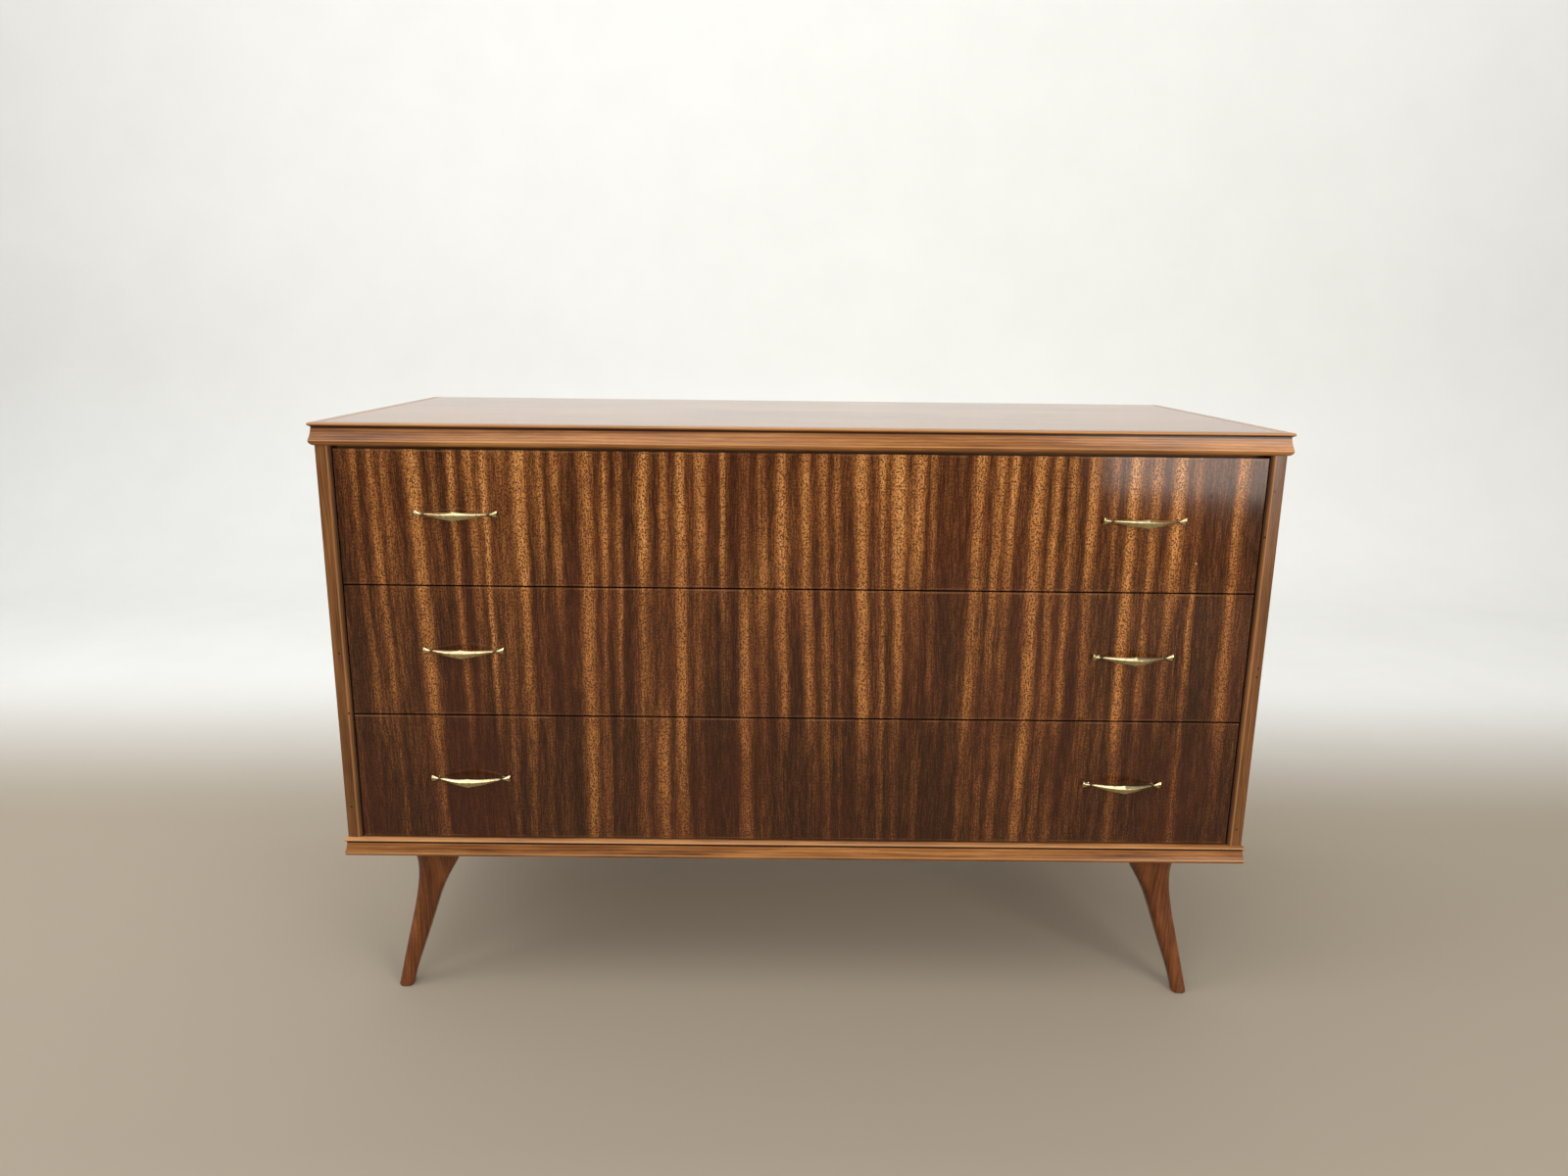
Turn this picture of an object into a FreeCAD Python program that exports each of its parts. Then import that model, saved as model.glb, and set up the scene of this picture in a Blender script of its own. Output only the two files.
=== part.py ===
import FreeCAD, Part
import math
import os

import Sketcher

# A three-drawer dresser on splayed legs. Millimetres, +Z up, the front faces -Y,
# the origin is under the middle of the whole dresser, handles included.

Vector = FreeCAD.Vector

doc = FreeCAD.newDocument("Dresser")

# ---------------------------------------------------------------- driving sizes

DRIVING = {
    # overall
    "top_width": 1250,
    "top_depth": 515,
    "top_thickness": 29,
    "plinth_thickness": 27,
    "leg_length": 206,
    # carcass
    "overhang": 5,
    "side_thickness": 21,
    "stile_depth": 14,
    "moulding_width": 16,
    "plinth_inset": 1,
    "back_thickness": 6,
    "back_recess": 1,
    "rebate_width": 8,
    # drawer fronts
    "front_height": 177,
    "front_thickness": 20,
    "front_recess": 2,
    "drawer_gap": 2,
    "head_gap": 4,
    # drawer boxes
    "box_board": 12,
    "box_lift": 10,
    "box_rear_space": 15,
    "tail_length": 14,
    "tail_flare": 2.4,
    "bottom_thickness": 5,
    "bottom_lift": 8,
    "groove_depth": 6,
    "front_groove": 8,
    "housing_depth": 4,
    "back_setback": 8,
    "back_drop": 8,
    # what the drawers run on
    "runner_thickness": 18,
    "runner_width": 24,
    "runner_gap": 0.3,
    "head_clearance": 1.2,
    "rail_depth": 60,
    "closing_gap": 0.5,
    "stop_width": 30,
    "stop_depth": 12,
    "stop_height": 6,
    "stop_inset": 200,
    # legs
    "leg_inset": 85,
    "leg_setback": 16,
    "foot_round": 2.5,
    # handles
    "handle_inset": 181,
    "handle_rise_lower": -1,
    "handle_rise_middle": 1.5,
    "handle_rise_upper": 6,
    "handle_length": 108,
    "post_spacing": 86,
    "post_diameter": 5,
    "bar_stand": 20.5,
    "bar_half_depth": 4,
    "neck_stand": 5,
    "tail_mouth": 6.6,
    # fixings
    "wood_screw": 4,
    "wood_screw_length": 36,
    "leg_screw": 5,
    "leg_screw_length": 60,
    "back_screw": 3,
    "back_screw_length": 18,
    "handle_screw": 3,
    "handle_screw_grip": 4,
    "handle_screw_head": 7,
    "handle_screw_head_height": 2,
}

TAILS_PER_CORNER = 4

sheet = doc.addObject("Spreadsheet::Sheet", "Sizes")
for row, (alias, size) in enumerate(DRIVING.items(), start=1):
    sheet.set(f"A{row}", alias)
    sheet.set(f"B{row}", str(size))
    sheet.setAlias(f"B{row}", alias)
doc.recompute()


class Size:
    """A length that knows its number and the expression that gives it in the sheet."""

    def __init__(self, number, text):
        self.number = number
        self.text = text

    def __add__(self, other):
        other = as_size(other)
        return Size(self.number + other.number, f"({self.text} + {other.text})")

    def __sub__(self, other):
        other = as_size(other)
        return Size(self.number - other.number, f"({self.text} - {other.text})")

    def __mul__(self, other):
        other = as_size(other)
        return Size(self.number * other.number, f"({self.text} * {other.text})")

    def __truediv__(self, other):
        other = as_size(other)
        return Size(self.number / other.number, f"({self.text} / {other.text})")

    def __neg__(self):
        return Size(-self.number, f"(0 - {self.text})")

    def __radd__(self, other):
        return as_size(other) + self

    def __rsub__(self, other):
        return as_size(other) - self

    def __rmul__(self, other):
        return as_size(other) * self


def as_size(value):
    """Takes a plain number or a Size, and gives a Size."""
    return value if isinstance(value, Size) else Size(float(value), f"{float(value)!r}")


class Sizes:
    """The sheet's cells by name, so that sizes.top_width is the cell's Size."""

    def __getattr__(self, alias):
        return Size(float(sheet.get(alias)), f"Sizes.{alias}")


sizes = Sizes()

# ---------------------------------------------------------------- derived places

# Along Y: how far a handle reaches past the lip of the top sets the middle of the box.
handle_reach = sizes.bar_stand + sizes.bar_half_depth - sizes.overhang - sizes.front_recess
lip_y = (handle_reach - sizes.top_depth) / 2
back_y = lip_y + sizes.top_depth
stile_y = lip_y + sizes.overhang
face_y = stile_y + sizes.front_recess
inner_y = face_y + sizes.front_thickness
back_panel_y = back_y - sizes.back_recess - sizes.back_thickness
middle_y = (lip_y + back_y) / 2

# Along X, from the middle plane.
carcass_half = sizes.top_width / 2 - sizes.overhang
opening_half = carcass_half - sizes.side_thickness
box_half = opening_half - sizes.drawer_gap
handle_x = sizes.top_width / 2 - sizes.handle_inset
handle_rises = {
    "lower": sizes.handle_rise_lower,
    "middle": sizes.handle_rise_middle,
    "upper": sizes.handle_rise_upper,
}

# Up Z.
plinth_z = sizes.leg_length
floor_z = plinth_z + sizes.plinth_thickness
opening_height = (sizes.front_height + sizes.drawer_gap) * 3 + sizes.head_gap
ceiling_z = floor_z + opening_height
top_z = ceiling_z + sizes.top_thickness
drawer_pitch = sizes.front_height + sizes.drawer_gap
box_height = drawer_pitch - sizes.runner_thickness - sizes.runner_gap - sizes.head_clearance
box_length = back_panel_y - sizes.box_rear_space - inner_y
rail_y = inner_y + sizes.closing_gap
runner_y = rail_y + sizes.rail_depth


def front_z(level):
    """The lower edge of the drawer front on a level, counted from 0 at the bottom."""
    return floor_z + sizes.drawer_gap + drawer_pitch * level


def runner_top(level):
    return front_z(level) + sizes.box_lift - sizes.runner_gap


# ---------------------------------------------------------------- helpers


def place(piece, x, y, z):
    for axis, size in zip("xyz", (x, y, z)):
        piece.setExpression(f"Placement.Base.{axis}", as_size(size).text)


def block(name, corner, opposite):
    """A squared board between two corners, each given as three sizes."""
    piece = doc.addObject("Part::Box", name)
    for side, low, high in zip(("Length", "Width", "Height"), corner, opposite):
        piece.setExpression(side, (as_size(high) - low).text)
    place(piece, *corner)
    return piece


def cut(name, board, *tools):
    """A board with the spaces of other pieces taken out of it."""
    piece = doc.addObject("Part::Cut", name)
    piece.Base = board
    piece.Tool = tools[0] if len(tools) == 1 else fuse(f"{name}_cutters", *tools)
    return piece


def fuse(name, *pieces):
    piece = doc.addObject("Part::MultiFuse", name)
    piece.Shapes = list(pieces)
    return piece


def mirror(name, source, normal=Vector(1, 0, 0), y=0):
    """The same piece on the other side of a plane."""
    piece = doc.addObject("Part::Mirroring", name)
    piece.Source = source
    piece.Normal = normal
    piece.setExpression("Base.y", as_size(y).text)
    return piece


def sketch_on(body, role, name, offset=None):
    """An empty sketch on one of a body's own planes, moved along the plane's normal."""
    sketch = body.newObject("Sketcher::SketchObject", name)
    plane = next(part for part in body.Origin.OriginFeatures if part.Role == role)
    sketch.AttachmentSupport = (plane, [""])
    sketch.MapMode = "FlatFace"
    if offset is not None:
        sketch.setExpression("AttachmentOffset.Base.z", as_size(offset).text)
    return sketch


def arc_between(start, end, radius):
    """An arc from start to end, to the left of a hollow one and the right of a round one."""
    chord = end - start
    rise = math.sqrt(max(radius * radius - chord.Length * chord.Length / 4, 0))
    normal = Vector(-chord.y, chord.x, 0).normalize()
    centre = (start + end) / 2 + normal * (rise if radius > 0 else -rise)
    first, last = (start, end) if radius > 0 else (end, start)
    angles = [math.atan2(point.y - centre.y, point.x - centre.x) for point in (first, last)]
    return Part.ArcOfCircle(Part.Circle(centre, Vector(0, 0, 1), abs(radius)), *angles)


def outline(sketch, corners):
    """Draws a closed outline, anticlockwise. A corner is x, y and, where an arc leads on
    from it, that arc's radius: above zero where the outline swells, below where it is hollow.
    """
    corners = [tuple(as_size(value) for value in corner) for corner in corners]
    points = [Vector(corner[0].number, corner[1].number, 0) for corner in corners]
    ends = []
    for index, corner in enumerate(corners):
        start, end = points[index], points[(index + 1) % len(points)]
        if len(corner) == 2:
            sketch.addGeometry(Part.LineSegment(start, end), False)
            ends.append((1, 2))
        else:
            sketch.addGeometry(arc_between(start, end, corner[2].number), False)
            ends.append((1, 2) if corner[2].number > 0 else (2, 1))
            radius = Sketcher.Constraint("Radius", index, abs(corner[2].number))
            place_constraint(sketch, radius, corner[2] if corner[2].number > 0 else -corner[2])
    for index, corner in enumerate(corners):
        after = (index + 1) % len(corners)
        joint = Sketcher.Constraint("Coincident", index, ends[index][1], after, ends[after][0])
        sketch.addConstraint(joint)
        for kind, size in (("DistanceX", corner[0]), ("DistanceY", corner[1])):
            distance = Sketcher.Constraint(kind, -1, 1, index, ends[index][0], size.number)
            place_constraint(sketch, distance, size)


def place_constraint(sketch, constraint, size):
    index = sketch.addConstraint(constraint)
    if "Sizes." in size.text:
        sketch.setExpression(f"Constraints[{index}]", size.text)


def pad(body, sketch, length, reverse=False):
    """Pads a sketch along its normal, or against it."""
    feature = body.newObject("PartDesign::Pad", f"{sketch.Name}_pad")
    feature.Profile = sketch
    feature.Reversed = reverse
    feature.setExpression("Length", as_size(length).text)
    return feature


def pocket(body, sketch, length, reverse=False):
    """Cuts a sketch's outline out of the body, and makes sure that something went."""
    doc.recompute()
    before = body.Shape.Volume
    feature = body.newObject("PartDesign::Pocket", f"{sketch.Name}_pocket")
    feature.Profile = sketch
    feature.Reversed = reverse
    feature.setExpression("Length", as_size(length).text)
    doc.recompute()
    assert body.Shape.Volume < before, f"{sketch.Name} cuts nothing"
    return feature


# ---------------------------------------------------------------- mouldings


def top_profile():
    """The edge of the top: a nosed bead, a groove, a face that flares, a rounded foot."""
    height = sizes.top_thickness
    width = sizes.moulding_width
    return [
        (width, 0),
        (width, height),
        (1.6, height, 2.7),
        (0, height - 2.4, 1.2),
        (0.6, height - 3.4),
        (3.6, height - 5.3),
        (3.6, height - 6.8, -60),
        (0.35, 7.4, 2.5),
        (0, 6.2, 6.5),
        (5, 0),
    ]


def plinth_profile():
    """The edge of the plinth: a sloped bead, an undercut, a face that flares, a round."""
    height = sizes.plinth_thickness
    width = sizes.moulding_width
    return [
        (width, 0),
        (width, height),
        (4, height),
        (0.8, height - 2.6, 1.4),
        (0, height - 3.8, 1.2),
        (0.9, height - 4.8),
        (3, height - 6.6),
        (3, height - 7.6, -60),
        (0.35, 5.6, 2.5),
        (0, 4.4, 5),
        (3, 0),
    ]


def moulding(name, profile, length, start_mitre, end_mitre):
    """A moulded strip along its own X, its lip towards -Y, mitred where it turns a corner."""
    width = sizes.moulding_width
    body = doc.addObject("PartDesign::Body", name)
    section = sketch_on(body, "YZ_Plane", f"{name}_section")
    outline(section, profile)
    pad(body, section, length)
    spare = 1
    mitres = []
    if start_mitre:
        mitres.append([(-spare, -spare), (width + spare, width + spare), (-spare, width + spare)])
    if end_mitre:
        far = length + spare
        near = length - width - spare
        mitres.append([(far, -spare), (far, width + spare), (near, width + spare)])
    for index, corners in enumerate(mitres):
        mitre = sketch_on(body, "XY_Plane", f"{name}_mitre_{index}")
        outline(mitre, corners)
        pocket(body, mitre, sizes.top_thickness + sizes.plinth_thickness, reverse=True)
    return body


def moulding_set(name, profile, inset, z):
    """A front strip and two side strips, mitred together at the front corners."""
    half = sizes.top_width / 2 - inset
    lip = lip_y + inset
    front = moulding(f"{name}_front", profile, half * 2, True, True)
    place(front, -half, lip, z)
    right = moulding(f"{name}_right", profile, back_y - lip, True, False)
    right.Placement.Rotation = FreeCAD.Rotation(Vector(0, 0, 1), 90)
    place(right, half, lip, z)
    left = moulding(f"{name}_left", profile, back_y - lip, False, True)
    left.Placement.Rotation = FreeCAD.Rotation(Vector(0, 0, 1), -90)
    place(left, -half, back_y, z)
    return [front, left, right]


# ---------------------------------------------------------------- screws


def countersunk_screw(point, direction, diameter, length):
    """A wood screw: its head's flat face is at point, and it goes in along direction."""
    point = Vector(*point)
    head = Part.makeCone(diameter, diameter / 2, diameter / 2, point, direction)
    shank = Part.makeCylinder(diameter / 2, length, point, direction)
    return head.fuse(shank)


def screw_group(name, places, diameter, length):
    """Many screws of one kind in one node. Each place is a point and a direction."""
    group = doc.addObject("Part::Feature", name)
    screws = []
    for point, direction in places:
        numbers = [as_size(value).number for value in point]
        screws.append(countersunk_screw(numbers, direction, diameter.number, length.number))
    group.Shape = Part.makeCompound(screws)
    group.Placement = FreeCAD.Placement()
    return group


def runner_levels():
    """Lower and upper face of each pair of strips on the side panels, from the bottom up."""
    strips = {
        "lower": (floor_z, runner_top(0), rail_y),
        "middle": (runner_top(1) - sizes.runner_thickness, runner_top(1), runner_y),
        "upper": (runner_top(2) - sizes.runner_thickness, runner_top(2), runner_y),
    }
    box_top = front_z(2) + sizes.box_lift + box_height
    strips["kicker"] = (box_top + sizes.head_clearance, ceiling_z, runner_y)
    return strips


def runner_screw_places():
    inner_x = opening_half - sizes.runner_width
    places = []
    for low, high, front in runner_levels().values():
        for share in (0.1, 0.5, 0.9):
            y = front + (back_panel_y - front) * share
            height = (low + high) / 2
            places.append(((inner_x, y, height), Vector(1, 0, 0)))
            places.append(((-inner_x, y, height), Vector(-1, 0, 0)))
    return places


def back_screw_places():
    rebate_x = opening_half + sizes.rebate_width / 2
    rear = back_y - sizes.back_recess
    places = []
    for index in range(6):
        height = floor_z + opening_height * ((index + 0.5) / 6)
        places.append(((rebate_x, rear, height), Vector(0, -1, 0)))
        places.append(((-rebate_x, rear, height), Vector(0, -1, 0)))
    return places


# ---------------------------------------------------------------- carcass


def build_top_and_bottom():
    width = sizes.moulding_width
    half = sizes.top_width / 2 - width
    top = block("top_panel", (-half, lip_y + width, ceiling_z), (half, back_y, top_z))
    pieces = [top] + moulding_set("top_moulding", top_profile(), as_size(0), ceiling_z)
    inset = sizes.plinth_inset + width
    half = sizes.top_width / 2 - inset
    blank = block("bottom_blank", (-half, lip_y + inset, plinth_z), (half, back_y, floor_z))
    pieces.append(cut("bottom_panel", blank, leg_screws))
    pieces += moulding_set("plinth_moulding", plinth_profile(), sizes.plinth_inset, plinth_z)
    return pieces


def build_sides():
    """Side panels, rebated for the back, and the rounded stiles on their front edges."""
    front_of_panel = stile_y + sizes.stile_depth
    blank = block("side_blank", (opening_half, front_of_panel, floor_z),
                  (carcass_half, back_y, ceiling_z))
    rebate = block("back_rebate", (opening_half, back_panel_y, floor_z),
                   (opening_half + sizes.rebate_width, back_y, ceiling_z))
    right = cut("side_panel_right", blank, rebate, runner_screws, back_panel_screws)
    left = mirror("side_panel_left", right)

    body = doc.addObject("PartDesign::Body", "front_stile_left")
    section = sketch_on(body, "XY_Plane", "stile_section")
    depth = sizes.stile_depth
    ridge = sizes.side_thickness * 0.72
    outline(section, [
        (0, depth),
        (0, 3.2, 3),
        (1.6, 1.2, 60),
        (ridge, 0, 3),
        (ridge + 1.4, 0.3),
        (sizes.side_thickness, 2.2),
        (sizes.side_thickness, depth),
    ])
    pad(body, section, opening_height)
    place(body, -carcass_half, stile_y, floor_z)
    return [left, right, body, mirror("front_stile_right", body)]


def build_back():
    half = opening_half + sizes.rebate_width
    blank = block("back_blank", (-half, back_panel_y, floor_z),
                  (half, back_y - sizes.back_recess, ceiling_z))
    return [cut("back_panel", blank, back_panel_screws)]


def build_rails():
    """Cross rails that tie the sides together, set back behind the drawer fronts."""
    levels = runner_levels()
    pieces = []
    for name, strip in (("lower_rail", "middle"), ("upper_rail", "upper"), ("top_rail", "kicker")):
        low, high, _ = levels[strip]
        pieces.append(block(name, (-opening_half, rail_y, low), (opening_half, runner_y, high)))
    return pieces


def build_runners():
    """The strips that the drawers slide on, and the kickers that stop the top one tipping."""
    pieces = []
    for level, (low, high, front) in runner_levels().items():
        name = "kicker" if level == "kicker" else f"{level}_runner"
        blank = block(f"{name}_blank", (opening_half - sizes.runner_width, front, low),
                      (opening_half, back_panel_y, high))
        right = cut(f"{name}_right", blank, runner_screws)
        pieces += [right, mirror(f"{name}_left", right)]
    return pieces


def build_stops():
    """Two small blocks for each drawer, which its front meets when it is pushed in."""
    blocks = []
    for level in range(3):
        low = floor_z if level == 0 else runner_top(level)
        size = [value.number for value in (sizes.stop_width, sizes.stop_depth)]
        height = runner_top(level) + sizes.stop_height - low
        for x in (opening_half - sizes.stop_inset, sizes.stop_inset - opening_half):
            corner = Vector((x - sizes.stop_width / 2).number, rail_y.number, low.number)
            blocks.append(Part.makeBox(*size, height.number, corner))
    stops = doc.addObject("Part::Feature", "drawer_stops")
    stops.Shape = Part.makeCompound(blocks)
    stops.Placement = FreeCAD.Placement()
    return [stops]


# ---------------------------------------------------------------- legs

# Sections of a leg from the top down: how far down as a share of the leg's length, how far
# the outer edge and the front edge stand out from where they are at the top (negative is
# inwards), then the section's width, depth and corner radius.
LEG_SECTIONS = [
    (0.00, 0, 0, 72, 60, 14),
    (0.06, -3.5, -6, 62, 51, 12),
    (0.14, -4.5, -10, 52, 42, 11),
    (0.27, -2.5, -12, 39, 34, 10),
    (0.48, 4.5, -7, 30, 28, 9),
    (0.75, 16, 2, 24, 23, 8),
    (1.00, 26, 12, 20, 20, 7),
]


def build_legs():
    """Flared at the top, then a slim leg that curves outwards and forwards to its foot."""
    body = doc.addObject("PartDesign::Body", "leg_blank")
    sections = []
    for index, (share, outward, forward, width, depth, corner) in enumerate(LEG_SECTIONS):
        section = sketch_on(body, "XY_Plane", f"leg_section_{index}", sizes.leg_length * -share)
        left, right = outward - width, outward
        front, rear = -forward, depth - forward
        outline(section, [
            (left + corner, front), (right - corner, front, corner),
            (right, front + corner), (right, rear - corner, corner),
            (right - corner, rear), (left + corner, rear, corner),
            (left, rear - corner), (left, front + corner, corner),
        ])
        sections.append(section)
    loft = body.newObject("PartDesign::AdditiveLoft", "leg_loft")
    loft.Profile = sections[0]
    loft.Sections = sections[1:]
    doc.recompute()
    sole = min(range(len(loft.Shape.Faces)), key=lambda i: loft.Shape.Faces[i].CenterOfMass.z)
    rounding = body.newObject("PartDesign::Fillet", "foot_rounding")
    rounding.Base = (loft, [f"Face{sole + 1}"])
    rounding.setExpression("Radius", sizes.foot_round.text)
    outer_x = sizes.top_width / 2 - sizes.leg_inset
    place(body, outer_x, lip_y + sizes.leg_setback, sizes.leg_length)
    front_right = cut("leg_front_right", body, leg_screws)
    front_left = mirror("leg_front_left", front_right)
    rear_right = mirror("leg_rear_right", front_right, Vector(0, 1, 0), middle_y)
    rear_left = mirror("leg_rear_left", front_left, Vector(0, 1, 0), middle_y)
    return [front_left, front_right, rear_left, rear_right]


def leg_screw_places():
    """Two long screws down through the bottom panel into each leg."""
    centre_x = sizes.top_width / 2 - sizes.leg_inset - 33
    centre_y = lip_y + sizes.leg_setback + 31
    places = []
    for shift_x, shift_y in ((11, 7), (-11, -7)):
        x = centre_x + shift_x
        y = centre_y + shift_y
        for leg_x in (x, -x):
            for leg_y in (y, middle_y * 2 - y):
                places.append(((leg_x, leg_y, floor_z), Vector(0, 0, -1)))
    return places


# ---------------------------------------------------------------- drawers


def box_side(name, x, z):
    """The right side of a drawer box, with dovetails at the front, grooved and housed."""
    body = doc.addObject("PartDesign::Body", name)
    section = sketch_on(body, "YZ_Plane", f"{name}_section")
    pitch = box_height / TAILS_PER_CORNER
    corners = [(box_length, 0), (box_length, box_height), (0, box_height)]
    for index in reversed(range(TAILS_PER_CORNER)):
        middle = pitch * (index + 0.5)
        root = pitch * 0.32
        tip = root + sizes.tail_flare
        corners += [(0, middle + root), (-sizes.tail_length, middle + tip)]
        corners += [(-sizes.tail_length, middle - tip), (0, middle - root)]
    outline(section, corners + [(0, 0)])
    pad(body, section, sizes.box_board, reverse=True)

    inner_x = -sizes.box_board
    groove = sketch_on(body, "YZ_Plane", f"{name}_groove", inner_x)
    low, high = sizes.bottom_lift, sizes.bottom_lift + sizes.bottom_thickness
    front = -sizes.front_groove
    outline(groove, [(front, low), (box_length, low), (box_length, high), (front, high)])
    pocket(body, groove, sizes.groove_depth, reverse=True)

    housing = sketch_on(body, "YZ_Plane", f"{name}_housing", inner_x)
    rear = box_length - sizes.back_setback
    top = box_height - sizes.back_drop
    outline(housing, [(rear - sizes.box_board, high), (rear, high), (rear, top),
                      (rear - sizes.box_board, top)])
    pocket(body, housing, sizes.housing_depth, reverse=True)
    place(body, x, inner_y, z)
    return body


def build_drawer(name, level):
    """One drawer: the front is cut to take the sides' tails, the bottom and the screws."""
    base = front_z(level)
    box_z = base + sizes.box_lift
    bottom_z = box_z + sizes.bottom_lift
    back_z = bottom_z + sizes.bottom_thickness
    back_top = box_z + box_height - sizes.back_drop
    rear = inner_y + box_length - sizes.back_setback
    housed = box_half - sizes.box_board + sizes.housing_depth
    grooved = box_half - sizes.box_board + sizes.groove_depth

    right = box_side(f"{name}_drawer_side_right", box_half, box_z)
    left = mirror(f"{name}_drawer_side_left", right)
    back = block(f"{name}_drawer_back", (-housed, rear - sizes.box_board, back_z),
                 (housed, rear, back_top))
    bottom = block(f"{name}_drawer_bottom", (-grooved, inner_y - sizes.front_groove, bottom_z),
                   (grooved, rear, back_z))
    handle_z = base + sizes.front_height / 2 + handle_rises[name]
    screws = handle_screws(name, handle_z)
    blank = block(f"{name}_front_blank", (-box_half, face_y, base),
                  (box_half, inner_y, base + sizes.front_height))
    front = cut(f"{name}_drawer_front", blank, right, left, bottom, screws)
    handles = [handle(f"{name}_handle_{side}", sign, handle_z, screws)
               for side, sign in (("left", -1), ("right", 1))]
    return [front, left, right, back, bottom, screws] + handles


# ---------------------------------------------------------------- handles

# Half of the handle's bar from the middle out: how far along as a share of the half bar,
# how far from the neck's stand to the middle's stand, then above, below and half deep.
BAR_SECTIONS = [
    (0.00, 1.00, 5.2, 6.0, 4.0),
    (0.10, 0.98, 4.3, 5.5, 3.8),
    (0.45, 0.76, 3.0, 4.0, 3.2),
    (0.80, 0.26, 2.0, 2.4, 2.3),
    (1.00, 0.00, 1.6, 1.7, 1.8),
]


def diamond(body, name, x, stand, above, below, half_depth):
    """A four-sided section across the bar, at x along it and stand out from the drawer."""
    section = sketch_on(body, "YZ_Plane", name, x)
    outline(section, [(-stand, -below), (half_depth - stand, 0), (-stand, above),
                      (-half_depth - stand, 0)])
    return section


def handle_blank(name):
    """A cast bow handle: a faceted bar, thin necks with a post each, and fishtail ends."""
    body = doc.addObject("PartDesign::Body", name)
    neck_x = sizes.post_spacing / 2
    sections = []
    for index, (share, lift, above, below, deep) in enumerate(BAR_SECTIONS):
        stand = sizes.neck_stand + (sizes.bar_stand - sizes.neck_stand) * lift
        x = neck_x * share
        sections.append(diamond(body, f"{name}_bar_{index}", x, stand, above, below, deep))
    bar = body.newObject("PartDesign::AdditiveLoft", f"{name}_bar")
    bar.Profile = sections[0]
    bar.Sections = sections[1:]

    mouth = sizes.tail_mouth / 2
    stand = sizes.neck_stand - 0.5
    tail = body.newObject("PartDesign::AdditiveLoft", f"{name}_tail")
    tail.Profile = diamond(body, f"{name}_neck", neck_x, sizes.neck_stand, 1.6, 1.7, 1.8)
    tail.Sections = [diamond(body, f"{name}_mouth", sizes.handle_length / 2, stand,
                             mouth, mouth, 2)]
    notch = sketch_on(body, "XZ_Plane", f"{name}_notch")
    end_x = sizes.handle_length / 2
    outline(notch, [(end_x - 3, 0), (end_x + 1, -2.4), (end_x + 1, 2.4)])
    pocket(body, notch, sizes.bar_stand * 2, reverse=True)

    post = sketch_on(body, "XZ_Plane", f"{name}_post")
    round_outline(post, neck_x, sizes.post_diameter / 2)
    post_pad = pad(body, post, sizes.neck_stand)
    doc.recompute()
    half = body.newObject("PartDesign::Mirrored", f"{name}_whole")
    half.Originals = [bar, tail, body.getObject(f"{name}_notch_pocket"), post_pad]
    plane = next(part for part in body.Origin.OriginFeatures if part.Role == "YZ_Plane")
    half.MirrorPlane = (plane, [""])
    body.Tip = half
    return body


def round_outline(sketch, x, radius):
    """A circle centred x along the sketch's own X."""
    centre = Vector(x.number, 0, 0)
    sketch.addGeometry(Part.Circle(centre, Vector(0, 0, 1), radius.number), False)
    place_constraint(sketch, Sketcher.Constraint("DistanceX", -1, 1, 0, 3, x.number), x)
    sketch.addConstraint(Sketcher.Constraint("PointOnObject", 0, 3, -1))
    place_constraint(sketch, Sketcher.Constraint("Radius", 0, radius.number), radius)


def handle(name, side, z, screws):
    body = handle_blank(f"{name}_blank")
    place(body, handle_x * side, face_y, z)
    return cut(name, body, screws)


def handle_screws(name, z):
    """Pan-headed screws from inside the drawer, through its front, into the posts."""
    radius = sizes.handle_screw.number / 2
    length = (sizes.front_thickness + sizes.handle_screw_grip).number
    head_radius = sizes.handle_screw_head.number / 2
    head_height = sizes.handle_screw_head_height.number
    forward = Vector(0, -1, 0)
    solids = []
    for handle_side in (-1, 1):
        for post_side in (-1, 1):
            x = handle_x * handle_side + sizes.post_spacing / 2 * post_side
            seat = Vector(x.number, inner_y.number, z.number)
            shank = Part.makeCylinder(radius, length, seat, forward)
            head = Part.makeCylinder(head_radius, head_height, seat, -forward)
            solids.append(shank.fuse(head))
    group = doc.addObject("Part::Feature", f"{name}_handle_screws")
    group.Shape = Part.makeCompound(solids)
    group.Placement = FreeCAD.Placement()
    return group


# ---------------------------------------------------------------- the whole dresser

runner_screws = screw_group("runner_screws", runner_screw_places(), sizes.wood_screw,
                            sizes.wood_screw_length)
back_panel_screws = screw_group("back_panel_screws", back_screw_places(), sizes.back_screw,
                                sizes.back_screw_length)
leg_screws = screw_group("leg_screws", leg_screw_places(), sizes.leg_screw,
                         sizes.leg_screw_length)

pieces = [runner_screws, back_panel_screws, leg_screws]
pieces += build_top_and_bottom() + build_sides() + build_back()
pieces += build_rails() + build_runners() + build_stops() + build_legs()
for level, name in enumerate(("lower", "middle", "upper")):
    pieces += build_drawer(name, level)

doc.recompute()

for item in doc.Objects:
    assert "Invalid" not in item.State and "Error" not in item.State, f"{item.Label}: {item.State}"
for piece in pieces:
    assert not piece.Shape.isNull() and piece.Shape.isValid(), f"{piece.Label} isn't a sound shape"

os.makedirs("parts", exist_ok=True)
for piece in pieces:
    piece.Shape.exportStep(f"parts/{piece.Label}.step")
print(len(pieces), "nodes written")
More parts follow.
